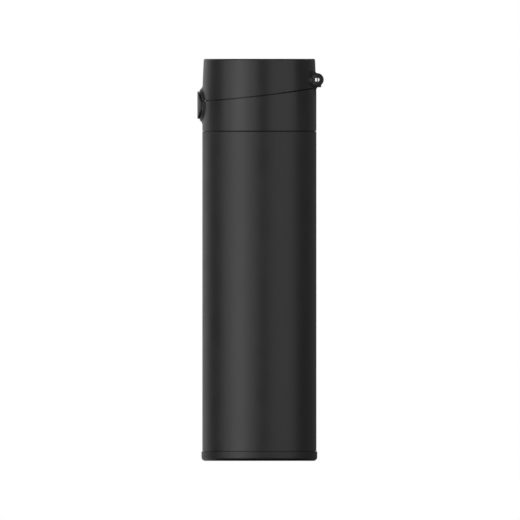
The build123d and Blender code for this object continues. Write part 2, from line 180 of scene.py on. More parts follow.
def clean(obj):
    """Merges doubled points and turns the faces outwards."""
    edit = bmesh.new()
    edit.from_mesh(obj.data)
    bmesh.ops.remove_doubles(edit, verts=edit.verts, dist=MERGE_DISTANCE)
    bmesh.ops.recalc_face_normals(edit, faces=edit.faces)
    if edit.calc_volume(signed=True) < 0:
        bmesh.ops.reverse_faces(edit, faces=edit.faces)
    edit.to_mesh(obj.data)
    edit.free()


def dress(obj, slot):
    """Smooth shading with sharp edges, and the slot's material."""
    obj.data.polygons.foreach_set("use_smooth", [True] * len(obj.data.polygons))
    obj.data.set_sharp_from_angle(angle=SHARP_ANGLE)
    obj.data.materials.clear()
    obj.data.materials.append(MATERIALS[slot])


def grid(points, loop_u=True, loop_v=True):
    """Flat points and quads of a (u, v, 3) array, joined up along u and v where asked."""
    nu, nv = points.shape[:2]
    faces = []
    for i in range(nu if loop_u else nu - 1):
        k = (i + 1) % nu
        for j in range(nv if loop_v else nv - 1):
            m = (j + 1) % nv
            faces.append((i * nv + j, k * nv + j, k * nv + m, i * nv + m))
    return points.reshape(-1, 3), faces


def end_faces(count, last):
    """The two end faces of rows of count points, the last row starting at point last."""
    return [tuple(range(count)), tuple(range(last + count - 1, last - 1, -1))]


def rounded(corners, steps=5, closed=True):
    """Outline through corners (a, b, fillet radius), with each corner rounded."""
    out, count = [], len(corners)
    for i, (a, b, r) in enumerate(corners):
        here = np.array((a, b), float)
        if r <= 0 or (not closed and i in (0, count - 1)):
            out.append(here)
            continue
        back = np.array(corners[i - 1][:2], float) - here
        ahead = np.array(corners[(i + 1) % count][:2], float) - here
        back /= np.linalg.norm(back)
        ahead /= np.linalg.norm(ahead)
        half = np.arccos(np.clip(back @ ahead, -1, 1)) / 2
        middle = here + (back + ahead) / np.linalg.norm(back + ahead) * r / sin(half)
        start = here + back * r / tan(half) - middle
        end = here + ahead * r / tan(half) - middle
        turn = np.arctan2(start[0] * end[1] - start[1] * end[0], start @ end)
        for k in range(steps + 1):
            t = turn * k / steps
            out.append(middle + np.array((start[0] * cos(t) - start[1] * sin(t),
                                          start[0] * sin(t) + start[1] * cos(t))))
    return np.array(out)


def lathe(name, outline, body, slot, replaced=(), segments=256, closed=True, shift=None):
    """Turns a closed outline of (radius, height) about the Z axis. shift(angle, r, z) -> r."""
    angles = np.linspace(0, 2 * pi, segments, endpoint=False)
    r = np.tile(outline[:, 0], (segments, 1))
    z = np.tile(outline[:, 1], (segments, 1))
    around = np.tile(angles[:, None], (1, len(outline)))
    if shift:
        r = shift(around, r, z)
    points = np.stack((r * np.cos(around), r * np.sin(around), z), axis=-1)
    return new_piece(name, *grid(points, True, closed), body, slot, replaced)


def tube(name, path, radius, body, slot, replaced=(), sides=12):
    """A round wire along a path of points, in mm."""
    path = np.asarray(path, float)
    along = np.gradient(path, axis=0)
    along /= np.linalg.norm(along, axis=1)[:, None]
    side = np.cross(along[0], (0.31, 0.52, 0.79))
    rings = []
    for point, axis in zip(path, along):
        side = side - axis * (side @ axis)
        side /= np.linalg.norm(side)
        other = np.cross(axis, side)
        turn = np.linspace(0, 2 * pi, sides, endpoint=False)[:, None]
        rings.append(point + radius * (np.cos(turn) * side + np.sin(turn) * other))
    points, faces = grid(np.array(rings), False, True)
    last = (len(path) - 1) * sides
    return new_piece(name, points, faces + end_faces(sides, last), body, slot, replaced)


def inset(outline, distance):
    """A closed outline moved inwards along its points' normals."""
    before, after = np.roll(outline, 1, axis=0), np.roll(outline, -1, axis=0)
    run = after - before
    area = np.sum(outline[:, 0] * after[:, 1] - after[:, 0] * outline[:, 1])
    normal = np.stack((-run[:, 1], run[:, 0]), axis=1) * (1 if area > 0 else -1)
    return outline + distance * normal / np.linalg.norm(normal, axis=1)[:, None]


def prism(outline, low, high, edge, steps=4):
    """Points and faces of an (x, z) outline drawn out along Y, with rounded end edges."""
    turns = [pi / 2 * k / steps for k in range(steps + 1)] if edge else [pi / 2]
    first = [(low + edge * (1 - cos(a)), edge * (1 - sin(a))) for a in turns]
    second = [(high + low - y, d) for y, d in reversed(first)]
    rows = []
    for y, d in first + second:
        ring = inset(outline, d)
        rows.append(np.stack((ring[:, 0], np.full(len(ring), y), ring[:, 1]), axis=1))
    points, faces = grid(np.array(rows), False, True)
    return points, faces + end_faces(len(outline), len(points) - len(outline))


def arc(x, y, r, start, end, steps=24):
    """Points of an arc, angles in degrees."""
    turn = np.radians(np.linspace(start, end, steps + 1))
    return np.stack((x + r * np.cos(turn), y + r * np.sin(turn)), axis=1)


def bar(radius, ends, axis="Y", at=(0, 0), sides=96):
    """A cutting or joining cylinder along X, Y or Z, at its two other coordinates."""
    turn = np.linspace(0, 2 * pi, sides, endpoint=False)
    a, b = at[0] + radius * np.cos(turn), at[1] + radius * np.sin(turn)
    rows = []
    for end in ends:
        flat = np.full(sides, float(end))
        rows.append(np.stack({"X": (flat, a, b), "Y": (a, flat, b), "Z": (a, b, flat)}[axis],
                             axis=1))
    points, faces = grid(np.array(rows), False, True)
    return points, faces + end_faces(sides, sides)


def block(x, y, z):
    """A cutting or joining box."""
    points = [(a, b, c) for a in x for b in y for c in z]
    return points, [(0, 1, 3, 2), (4, 6, 7, 5), (0, 4, 5, 1), (2, 3, 7, 6), (0, 2, 6, 4),
                    (1, 5, 7, 3)]


def carve(obj, slot, steps):
    """Applies (operation, (points, faces)) to obj's mesh one after another."""
    for operation, (points, faces) in steps:
        tool = new_piece("tool", points, faces, None, slot)
        cut = obj.modifiers.new("cut", "BOOLEAN")
        cut.operation, cut.solver, cut.object = operation, "MANIFOLD", tool
        ready = obj.evaluated_get(bpy.context.evaluated_depsgraph_get())
        mesh = bpy.data.meshes.new_from_object(ready)
        obj.modifiers.clear()
        old, obj.data = obj.data, mesh
        bpy.data.meshes.remove(old)
        bpy.data.objects.remove(tool)
    clean(obj)
    dress(obj, slot)


# ------------------------------------------------------------------ places, from the frame, mm
def box_mm(node):
    """The low and high corner of a CAD node."""
    low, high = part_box(node)
    return np.array(low) / MM, np.array(high) / MM


JOINTS = {joint["name"]: joint for joint in frame["joints"]}
HINGE = np.array(JOINTS["cap_flip"]["pos_m"]) / MM
PIVOT = np.array(JOINTS["button_press"]["pos_m"]) / MM
HINGE_AXIS = (HINGE[0], HINGE[2])
BODY_R, _, NECK_TOP = box_mm("outer_shell")[1]
BASE_R, _, BASE_H = box_mm("base_cap")[1]
LID_Z, TOP_Z = box_mm("collar")[0][2], box_mm("cap_shell")[1][2]
SKIRT_Z = box_mm("cap_shell")[0][2]
button_low, button_high = box_mm("button_cap")
BUTTON_X, BUTTON_R = button_low[0], button_high[1]
BUTTON_Z = (button_low[2] + button_high[2]) / 2
BUTTON_AXIS = (0, BUTTON_Z)

# ------------------------------------------------------------------ the lid's outside
LID_EDGE, TOP_EDGE, PART_EDGE = 0.4, 0.9, 0.2
RELIEF_R, RELIEF_Z = 32.4, 192.55
TAPER_Z, TOP_T = 213.0, 2.0
LAP_IN, LAP_OUT, LAP_GAP, LAP_H = 30.05, 31.2, 0.3, 1.2
LAP_FOOT_Z, LAP_END_X, LAP_FRONT_Y, LAP_EDGE = 208.4, 12.0, 3.2, 0.1
# the parting line is an arc through three heights, at the front, the middle and the rear
FRONT_Z, MID_Z, REAR_Z, GAP = 209.35, 212.4, 217.1, 0.4
chord = sqrt((2 * BODY_R) ** 2 + (REAR_Z - FRONT_Z) ** 2)
rise, run = (REAR_Z - FRONT_Z) / chord, 2 * BODY_R / chord
sag = ((FRONT_Z + REAR_Z) / 2 - MID_Z) * run
ARC_R = chord ** 2 / (8 * sag) + sag / 2
ARC_X, ARC_Z = -rise * (ARC_R - sag), (FRONT_Z + REAR_Z) / 2 + run * (ARC_R - sag)
LID_BORE, CAP_TOP_R = 31.0, 32.4
BOSS_X, BOSS_FACE_R, BOSS_RIM, FLANK = -34.8, 24.0, 8.95, tan(radians(29))
BOSS_FILLET, RIM_ROUND, BOSS_TURN = 3.0, 0.55, radians(40)
EAR_R, EAR_IN, EAR_OUT, EAR_EDGE = 3.87, 7.4, 11.0, 0.6
EAR_FILLET, EAR_FADE = 1.9, 1.6   # the fillet dies out over EAR_FADE at the ear's top and foot


def parting(x, offset=0.0):
    """Height of the arc that parts the cap from the collar."""
    return ARC_Z - np.sqrt((ARC_R - offset) ** 2 - (x - ARC_X) ** 2)


def wall(z):
    """Radius of the lid's plain wall: straight, then a slight taper."""
    up = np.clip((z - TAPER_Z) / (TOP_Z - TAPER_Z), 0, 1)
    return BODY_R - (BODY_R - CAP_TOP_R) * up ** 1.25


def front(y, z):
    """X of the lid's front: the wall, with the button's boss blended into it."""
    plain = -np.sqrt(np.maximum(wall(z) ** 2 - y ** 2, 0))
    rho = np.hypot(y, z - BUTTON_Z)
    safe = np.maximum(rho, 1e-6)
    side, up = y / safe, (z - BUTTON_Z) / safe
    # how far from the boss's middle its flank meets the wall, by repeated substitution
    foot = np.full_like(rho, BOSS_RIM + 1.0)
    for _ in range(12):
        level = -np.sqrt(wall(BUTTON_Z + foot * up) ** 2 - (foot * side) ** 2)
        foot = BOSS_RIM + FLANK * (level - BOSS_X)
    slope = foot * side ** 2 / -level
    cone = BOSS_X + (rho - BOSS_RIM) / FLANK
    face = BOSS_X + BOSS_FACE_R - np.sqrt(np.maximum(BOSS_FACE_R ** 2 - y ** 2, 0))
    k = RIM_ROUND
    boss = np.maximum(face, cone) + np.maximum(k - np.abs(face - cone), 0) ** 2 / (4 * k)
    # round the inside corner between the flank and the wall with a true arc
    u, steep = rho - foot, 1 / FLANK
    open_angle = pi + np.arctan(slope) - atan(steep)
    aim = np.arctan(slope) - open_angle / 2
    reach = BOSS_FILLET / np.sin(open_angle / 2)
    mid_u, mid_w = reach * np.cos(aim), reach * np.sin(aim)
    touch = BOSS_FILLET / np.tan(open_angle / 2)
    inside = (u > -touch * cos(atan(steep))) & (u < touch * np.cos(np.arctan(slope)))
    lines = np.minimum(slope * u, steep * u)
    curve = mid_w + np.sqrt(np.maximum(BOSS_FILLET ** 2 - (u - mid_u) ** 2, 0))
    return np.minimum(plain, boss) + np.where(inside, np.minimum(curve - lines, 0), 0)


def smooth(t):
    """Eases 0..1 in and out."""
    return t * t * (3 - 2 * t)


def outside(turn, z):
    """(x, y) of the lid's outside at an angle from the front, with boss and ear fillets."""
    r = wall(z)
    x, y = -r * np.cos(turn), r * np.sin(turn)
    near = np.abs(turn) < BOSS_TURN
    x = np.where(near, np.minimum(front(y, z), x), x)
    gap = np.clip(1 - (np.abs(y) - EAR_OUT) / EAR_FILLET, 0, 1)
    swell = EAR_FILLET * (1 - np.sqrt(1 - gap ** 2)) * (np.abs(y) > EAR_OUT - 0.4)
    ends = smooth(np.clip((EAR_R - np.abs(z - HINGE[2])) / EAR_FADE, 0, 1))
    grow = np.where(np.cos(turn) < 0, swell * ends, 0)
    return x - grow * np.cos(turn), y + grow * np.sin(turn) * 0.3


def spaced(*spans):
    """Angles in radians from (start, end, step) spans in degrees, mirrored about the front."""
    half = np.concatenate([np.arange(a, b, s) for a, b, s in spans])
    return np.radians(np.concatenate((-half[:0:-1], half)))


# angles from the front, closer together at the button and at the hinge
TURNS = spaced((0, 26, 0.45), (26, 150, 1.6), (150, 180.01, 0.75))[:-1]
T = TURNS[:, None]


def rings(outline):
    """The (u, v, 3) array of an axisymmetric stretch of (radius, height) points."""
    r, z = np.array(outline, float).T
    return np.stack((-r * np.cos(T), r * np.sin(T), z + 0 * T), axis=-1)


def upright(low, high, count):
    """The lid's outside between two heights given per angle, first row left out."""
    z = low[:, None] + (high - low)[:, None] * np.linspace(0, 1, count)[1:]
    x, y = outside(T + 0 * z, z)
    return np.stack((x, y, z), axis=-1)


def parting_edge(level, offset, sign):
    """Rounded edge beside the parting line, from the wall inwards. sign is +1 below it."""
    r, a = PART_EDGE, pi / 2 * np.linspace(0, 1, 5)
    z = level[:, None] + 0 * a
    x, y = outside(T + 0 * z, z)
    scale = 1 - r * (1 - np.cos(a)) / np.hypot(x, y)
    x, y = x * scale, y * scale
    return np.stack((x, y, parting(x, offset) - sign * r * (1 - np.sin(a))), axis=-1)


def inner_corner(offset):
    """The bore's end at the parting line."""
    x = -LID_BORE * np.cos(T)
    return np.stack((x, LID_BORE * np.sin(T), parting(x, offset)), axis=-1)


def collar_points():
    """The collar's skin: relief, foot, outside, rounded edge and bore."""
    top = parting(-BODY_R * np.cos(TURNS), -GAP / 2) - PART_EDGE
    low = np.full_like(top, LID_Z + LID_EDGE)
    lip = [(LID_BORE, RELIEF_Z), (RELIEF_R, RELIEF_Z), (RELIEF_R, LID_Z)]
    foot = arc(BODY_R - LID_EDGE, LID_Z + LID_EDGE, LID_EDGE, -90, 0, 5)
    return np.concatenate((rings(lip), rings(foot), upright(low, top, 76),
                           parting_edge(top, -GAP / 2, 1)[:, 1:],
                           inner_corner(-GAP / 2)), axis=1)


def cap_points():
    """The cap's skin: rounded edge, outside, rim, top, underside of the top and bore."""
    low = parting(-BODY_R * np.cos(TURNS), GAP / 2) + PART_EDGE
    high = np.full_like(low, TOP_Z - TOP_EDGE)
    rim = arc(CAP_TOP_R - TOP_EDGE, TOP_Z - TOP_EDGE, TOP_EDGE, 0, 90, 9)[1:]
    inside = rounded([(LID_BORE, 205, 0), (LID_BORE, 219.2, 0),
                      (CAP_TOP_R - 2.0, TOP_Z - TOP_T, 1.4), (0, TOP_Z - TOP_T, 0)],
                     closed=False)
    flat = [(r, TOP_Z) for r in (26, 18, 9, 0)]
    under = [(r, TOP_Z - TOP_T) for r in (0, 9, 18)] + list(inside[-2:0:-1])
    return np.concatenate((parting_edge(low, GAP / 2, -1)[:, ::-1], upright(low, high, 84),
                           rings(rim), rings(flat), rings(under),
                           inner_corner(GAP / 2)), axis=1)


def lap_band(r_in, r_out, height, end_x, side=0, start_y=0.0):
    """Part ring up to a height above the parting line. side picks one half of it."""
    end = np.arccos(-end_x / r_out)
    first = np.arcsin(start_y / r_out) if side else -end
    around = (side or 1) * np.linspace(first, end, 181)[:, None]

    def row(r, z):
        return np.stack((-r * np.cos(around), r * np.sin(around), z + 0 * around), axis=-1)

    def top(r, rise, drop=0.0):
        return row(r, parting(-r * np.cos(around), rise) - drop)

    ring = np.concatenate((
        row(r_in, LAP_FOOT_Z), row(r_out, LAP_FOOT_Z), top(r_out, height, LAP_EDGE),
        top(r_out - LAP_EDGE, height), top(r_in + LAP_EDGE, height),
        top(r_in, height, LAP_EDGE)), axis=1)
    points, faces = grid(ring, False, True)
    return points, faces + end_faces(ring.shape[1], len(points) - ring.shape[1])


def column(outline, low, high):
    """Points and faces of an (x, y) outline drawn up along Z."""
    points, faces = prism(outline, low, high, 0)
    return points[:, [0, 2, 1]], faces


def by_hinge(x, y, z):
    """A cutting box, x and z measured from the hinge's axis."""
    return block([HINGE[0] + v for v in x], y, [HINGE[2] + v for v in z])


# ------------------------------------------------------------------ collar
KNUCKLE_R, KNUCKLE_Y, COIL_ROOM_R, COIL_Y, PIN_R = 3.2, 7.2, 3.3, 4.4, 1.4
POCKET_R, FLOOR_X = 8.6, -32.0
BRACKET_Z, SHELF_TOP_Z = HINGE[2] - 9.8, HINGE[2] - 3.8
OUT_X = -40   # beyond the front, where cuts from the front begin
PIN_BORE_Y = 20   # beyond the pin's ends
SPRING_Z = PIVOT[2] - 4.0
bracket = np.concatenate((
    [(HINGE[0] - KNUCKLE_R, BRACKET_Z), (32.6, BRACKET_Z), (33.0, HINGE[2] - 5.8),
     (33.9, HINGE[2] - 4.4), (36.0, HINGE[2] - 4.4), (36.0, HINGE[2] - 2.25)],
    arc(HINGE[0], HINGE[2], KNUCKLE_R, -43, 180, 40), [(HINGE[0] - KNUCKLE_R, SHELF_TOP_Z)]))
SHELF_R, SHELF_TURN, SHELF_BACK = 29.9, 13.9, 31.2
shelf = np.concatenate((arc(0, 0, SHELF_R, -SHELF_TURN, SHELF_TURN),
                        [(SHELF_BACK, KNUCKLE_Y), (SHELF_BACK, -KNUCKLE_Y)]))
collar = new_piece("lid_collar", *grid(collar_points()), "lid_base", "lid_plastic", ["collar"])
carve(collar, "lid_plastic", [
    # the lap joint's lip, and the shelf that the hinge bracket stands on
    ("UNION", lap_band(LAP_IN, LAP_OUT, LAP_H, LAP_END_X)),
    ("UNION", column(shelf, BRACKET_Z, SHELF_TOP_Z)),
    # the button's pocket, the lever's window and the hole for the button's spring
    ("DIFFERENCE", bar(POCKET_R, (OUT_X, FLOOR_X), "X", BUTTON_AXIS, 160)),
    ("DIFFERENCE", block((OUT_X, -30.7), (-3.5, 3.5), (PIVOT[2] - 1.7, PIVOT[2] + 5.0))),
    ("DIFFERENCE", bar(2.4, (OUT_X, -29), "X", (0, SPRING_Z), 48)),
    # the hinge bracket, room for its spring's coil, arm and foot, and the pin's bore
    ("UNION", prism(bracket, -KNUCKLE_Y, KNUCKLE_Y, 0.3)),
    ("DIFFERENCE", bar(COIL_ROOM_R, (-COIL_Y, COIL_Y), "Y", HINGE_AXIS)),
    ("DIFFERENCE", by_hinge((-5.6, 0), (-COIL_Y, COIL_Y), (-2.2, 4.2))),
    ("DIFFERENCE", by_hinge((1.8, 3.4), (-4.3, -3.3), (-3.8, 0.2))),
    ("DIFFERENCE", bar(PIN_R + 0.05, (-PIN_BORE_Y, PIN_BORE_Y), "Y", HINGE_AXIS, 48)),
])
LUG_R, LUG_BACK, LUG_IN, LUG_OUT = 1.05, -31.4, 3.6, 4.6
lug = np.concatenate((arc(PIVOT[0], PIVOT[2], LUG_R, 90, 270, 16),
                      [(LUG_BACK, PIVOT[2] - LUG_R), (LUG_BACK, PIVOT[2] + LUG_R)]))
for tag, low, high in (("a", LUG_IN, LUG_OUT), ("b", -LUG_OUT, -LUG_IN)):
    new_piece("pivot_lug_" + tag, *prism(lug, low, high, 0.1), "lid_base", "lid_plastic")

# ------------------------------------------------------------------ cap
EAR_BACK, EAR_BLEND_R, CAP_BORE_R = 30.2, 1.25, 30.6
PIN_SEAT_R, PIN_SEAT_DEPTH = 1.8, 0.5
HOOK_Z, HOOK_SLOT, HOOK_X = PIVOT[2] + 4.3, (-2.9, 2.9), -33
SKIRT_X, SKIRT_Y, SKIRT_H = -31.45, 2.4, 1.1
ear = np.concatenate((
    [(EAR_BACK, HINGE[2] - EAR_R)], arc(HINGE[0], HINGE[2], EAR_R, -90, 80, 48),
    arc(33.78, HINGE[2] + EAR_R + 1.3, EAR_BLEND_R, 255, 190, 8), [(EAR_BACK, HINGE[2] + 5.0)]))
hook_way = np.array([(HOOK_X, HOOK_Z - 3.3), (SKIRT_X, HOOK_Z - 3.3), (SKIRT_X, HOOK_Z - 1.9),
                     (-32.02, HOOK_Z + 0.1), (HOOK_X, HOOK_Z + 0.1)])
cap = new_piece("flip_cap", *grid(cap_points()), "cap", "lid_plastic", ["cap_shell"])
steps = [("UNION", prism(ear, low, high, EAR_EDGE))
         for low, high in ((EAR_IN, EAR_OUT), (-EAR_OUT, -EAR_IN))]
# the lap joint's rebate, left solid at the front
steps += [("DIFFERENCE", lap_band(LID_BORE - 0.5, LAP_OUT + LAP_GAP, LAP_H + LAP_GAP,
                                  LAP_END_X + 1, side, LAP_FRONT_Y)) for side in (-1, 1)]
steps += [
    ("DIFFERENCE", bar(CAP_BORE_R, (LID_Z, TOP_Z - 3.0), "Z", sides=256)),
    # the button's pocket, the hook's slot above its ledge, and the hook's way in below it
    ("DIFFERENCE", bar(POCKET_R, (OUT_X, FLOOR_X), "X", BUTTON_AXIS, 160)),
    ("DIFFERENCE", block((HOOK_X, -29), HOOK_SLOT, (HOOK_Z, HOOK_Z + 2.5))),
    ("DIFFERENCE", prism(hook_way, *HOOK_SLOT, 0)),
    ("UNION", block((SKIRT_X, -30.98), (-SKIRT_Y, SKIRT_Y), (SKIRT_Z, SKIRT_Z + SKIRT_H))),
    # room between the ears for the bracket and the spring's arm, and the pin's bore
    ("DIFFERENCE", bar(KNUCKLE_R + 0.45, (-EAR_IN, EAR_IN), "Y", HINGE_AXIS)),
    ("DIFFERENCE", by_hinge((-5.6, 6.4), (-EAR_IN, EAR_IN), (-16.8, 0))),
    ("DIFFERENCE", by_hinge((-5.6, -1.8), (3.0, 4.8), (0.2, 7.8))),
    ("DIFFERENCE", bar(PIN_R + 0.01, (-PIN_BORE_Y, PIN_BORE_Y), "Y", HINGE_AXIS, 64)),
]
steps += [("DIFFERENCE", bar(PIN_SEAT_R, ends, "Y", HINGE_AXIS, 64))
          for ends in ((-EAR_OUT - 1, -EAR_OUT + PIN_SEAT_DEPTH),
                       (EAR_OUT - PIN_SEAT_DEPTH, EAR_OUT + 1))]
carve(cap, "lid_plastic", steps)
DOME_R = 3.2
dome_turn = np.degrees(np.arcsin(PIN_R / DOME_R))
dome = arc(0, EAR_OUT - DOME_R, DOME_R, 90 - dome_turn, 90, 8)
pin = np.concatenate((dome[::-1] * (1, -1), dome))
turn = np.linspace(0, 2 * pi, 64, endpoint=False)[:, None]
pin_points = np.stack((HINGE[0] + pin[:, 0] * np.cos(turn), pin[:, 1] + 0 * turn,
                       HINGE[2] + pin[:, 0] * np.sin(turn)), axis=-1)
new_piece("hinge_pin_steel", *grid(pin_points, True, False), "cap", "steel_pin", ["hinge_pin"])

# ------------------------------------------------------------------ inside the cap
cup_low, cup_high = box_mm("cap_liner")
CUP_R, CUP_Z, CUP_TOP_Z, CUP_T, CUP_ROOF_T = cup_high[0], cup_low[2], cup_high[2], 1.1, 1.4
CUP_ROOF_Z = CUP_TOP_Z - CUP_ROOF_T
lathe("cap_inner_shell",
      rounded([(CUP_R - CUP_T, CUP_Z, 0.3), (CUP_R, CUP_Z, 0.4), (CUP_R, CUP_TOP_Z - 2.4, 1.0),
               (CUP_R - 1.3, CUP_TOP_Z, 0.6), (0, CUP_TOP_Z, 0), (0, CUP_ROOF_Z, 0),
               (CUP_R - 1.6, CUP_ROOF_Z, 1.5), (CUP_R - CUP_T, CUP_ROOF_Z - 1.2, 0.5)]),
      "cap", "insert_plastic", ["cap_liner"])

post_low, post_high = box_mm("stopper_holder")
POST_R, POST_BORE, POST_TOP_Z = 9.8, 8.0, post_high[2]
DISC_R, DISC_Z, DISC_TOP_Z = post_high[0], post_low[2], post_low[2] + 1.6
lathe("stopper_post",
      rounded([(POST_BORE, POST_TOP_Z, 0.2), (POST_R, POST_TOP_Z, 0.2), (POST_R, DISC_TOP_Z, 0.5),
               (DISC_R, DISC_TOP_Z, 0.3), (DISC_R, DISC_Z, 0.3), (0, DISC_Z, 0),
               (0, DISC_TOP_Z, 0), (POST_BORE, DISC_TOP_Z, 0.5)]),
      "cap", "insert_plastic", ["stopper_holder"])

seal_low, seal_high = box_mm("stopper_seal")
LIP_R, SEAL_Z, SEAL_TOP_Z = seal_high[0], seal_low[2], seal_high[2]
PLUG_R, MOUTH_R, LIP_Z, SEAL_PLAY = 17.0, 11.0, SEAL_TOP_Z - 3.1, 0.05
lathe("stopper_silicone",
      rounded([(0, SEAL_Z, 0), (PLUG_R - 3.5, SEAL_Z, 0.6), (PLUG_R - 0.7, SEAL_Z + 0.4, 0.7),
               (PLUG_R, SEAL_Z + 4.2, 0.5), (PLUG_R, LIP_Z, 0.3), (LIP_R, LIP_Z, 0.5),
               (LIP_R, SEAL_TOP_Z - 0.5, 0.7), (MOUTH_R, SEAL_TOP_Z, 0.3),
               (MOUTH_R, DISC_TOP_Z + SEAL_PLAY, 0),
               (DISC_R + SEAL_PLAY, DISC_TOP_Z + SEAL_PLAY, 0),
               (DISC_R + SEAL_PLAY, DISC_Z - SEAL_PLAY, 0), (0, DISC_Z - SEAL_PLAY, 0)],
              closed=False),
      "cap", "silicone", ["stopper_seal"], closed=False)

# ------------------------------------------------------------------ button
FACE_R, BACK_R = 19.0, 17.5


def button_face(rho, turn, radius):
    """A point of the button's front or back, both parts of upright cylinders."""
    y = rho * np.cos(turn)
    return BUTTON_X + FACE_R - np.sqrt(radius ** 2 - y ** 2), y, BUTTON_Z + rho * np.sin(turn)


turn = np.linspace(0, 2 * pi, 192, endpoint=False)[:, None]
ROUND, SKIRT_T, BUTTON_BACK = 0.45, 1.2, -33.4
rows = [np.stack(button_face(rho + 0 * turn, turn, FACE_R), axis=-1)
        for rho in (0, 2, 4, 6, BUTTON_R - ROUND)]
for a in np.radians(np.linspace(0, 90, 6))[1:]:
    x, y, z = button_face(BUTTON_R - ROUND * (1 - sin(a)) + 0 * turn, turn, FACE_R)
    rows.append(np.stack((x + ROUND * (1 - cos(a)), y, z), axis=-1))
for rho, x in ((BUTTON_R, BUTTON_BACK - 0.2), (BUTTON_R - 0.2, BUTTON_BACK),
               (BUTTON_R - SKIRT_T, BUTTON_BACK)):
    rows.append(np.stack((x + 0 * turn, rho * np.cos(turn), BUTTON_Z + rho * np.sin(turn)),
                         axis=-1))
for rho in (BUTTON_R - SKIRT_T, 4, 2, 0):
    rows.append(np.stack(button_face(rho + 0 * turn, turn, BACK_R), axis=-1))
new_piece("push_button", *grid(np.concatenate(rows, axis=1), True, False), "button",
          "button_plastic", ["button_cap"])

# ------------------------------------------------------------------ bottle
BOTTOM_Z = box_mm("outer_shell")[0][2]
FOOT_R, FOOT_Z, SHOULDER_Z, SPIGOT_R, SPIGOT_Z = 32.5, 5.6, 191.8, 32.2, 192.3
NECK_R, BORE_R, SHELL_T, LINER_T = 27.0, 24.5, 0.4, 0.3
LINER_R, LINER_Z = box_mm("inner_liner")[1][0], box_mm("inner_liner")[0][2]
NECK_SLOPE_Z, NECK_SLOPE_H = 179.0, 10   # where the liner draws in to its neck
RECESS_R, RECESS_Z, BASE_EDGE, BASE_FLOOR_Z, BASE_PLAY = 24.0, 0.6, 2.2, 2.1, 0.06


PITCH, THREAD_HALF, THREAD_FLANK, THREAD_FADE = 4.0, 1.19, 0.5, 0.06


def thread(radius, depth, start, turns):
    """A shift that raises a rounded helical thread out of a wall, outwards or inwards."""
    def shift(around, r, z):
        tall = np.zeros_like(r)
        for k in (-1, 0, 1, 2):
            travel = around / (2 * pi) + k
            away = np.abs(z - (start + PITCH * travel))
            ends = np.clip(np.minimum(travel + 0.02, turns - travel + 0.02) / THREAD_FADE, 0, 1)
            high = np.clip((THREAD_HALF - away) / THREAD_FLANK, 0, 1)
            tall = np.maximum(tall, smooth(high) * smooth(ends))
        return np.where(np.abs(r - radius) < 0.02, radius + depth * tall, r)
    return shift


inner_foot = rounded([(FOOT_R - SHELL_T, BOTTOM_Z, 0), (FOOT_R - SHELL_T, FOOT_Z + SHELL_T, 0.05),
                      (BODY_R - SHELL_T, FOOT_Z + SHELL_T, 0.05),
                      (BODY_R - SHELL_T, SHOULDER_Z - SHELL_T, 0.1),
                      (SPIGOT_R - SHELL_T, SHOULDER_Z - SHELL_T, 0.1),
                      (SPIGOT_R - SHELL_T, SPIGOT_Z - SHELL_T, 0.1),
                      (NECK_R - SHELL_T, SPIGOT_Z - SHELL_T, 1.2),
                      (NECK_R - SHELL_T, NECK_TOP, 0)], closed=False)
outer = rounded([(NECK_R, NECK_TOP, 0), (NECK_R, SPIGOT_Z, 0.8), (SPIGOT_R, SPIGOT_Z, 0.15),
                 (SPIGOT_R, SHOULDER_Z, 0.05), (BODY_R, SHOULDER_Z, 0.4),
                 (BODY_R, FOOT_Z, 0.15), (FOOT_R, FOOT_Z, 0.1),
                 (FOOT_R, BOTTOM_Z, 0)], closed=False)
neck_rows = [(NECK_R, z) for z in np.linspace(NECK_TOP, SPIGOT_Z + 0.85, 90)]
shell = np.concatenate((inner_foot, neck_rows, outer[1:]))
lathe("bottle_shell", shell, "bottle", "powder_coat", ["outer_shell"], 320,
      shift=thread(NECK_R, 1.1, 194.8, 1.5))
lip_r = NECK_R - SHELL_T - 0.02
neck_slope = [(BORE_R + LINER_T + (LINER_R - BORE_R - LINER_T) * (1 + cos(pi * t)) / 2,
               NECK_SLOPE_Z + NECK_SLOPE_H * t) for t in np.linspace(0, 1, 14)]
liner_in = [(r - LINER_T, z) for r, z in neck_slope]
liner = np.concatenate(([(LINER_R, LINER_Z)], neck_slope,
                        [(BORE_R + LINER_T, NECK_TOP - 0.6), (lip_r, NECK_TOP - 0.6),
                         (lip_r, NECK_TOP)],
                        rounded([(26.0, NECK_TOP, 0), (BORE_R, NECK_TOP, 0.35),
                                 (BORE_R, 200, 0)], closed=False),
                        liner_in[::-1], [(LINER_R - LINER_T, LINER_Z)]))
lathe("liner_steel", liner, "bottle", "steel_liner", ["inner_liner"])
lathe("base_ring",
      rounded([(0, RECESS_Z, 0), (RECESS_R, RECESS_Z, 0.4), (RECESS_R + 1.0, 0, 0.4),
               (BASE_R, 0, BASE_EDGE), (BASE_R, BASE_H, 0.1), (FOOT_R + BASE_PLAY, BASE_H, 0.1),
               (FOOT_R + BASE_PLAY, BASE_FLOOR_Z, 0), (0, BASE_FLOOR_Z, 0)],
              steps=7, closed=False),
      "bottle", "base_plastic", ["base_cap"], closed=False)

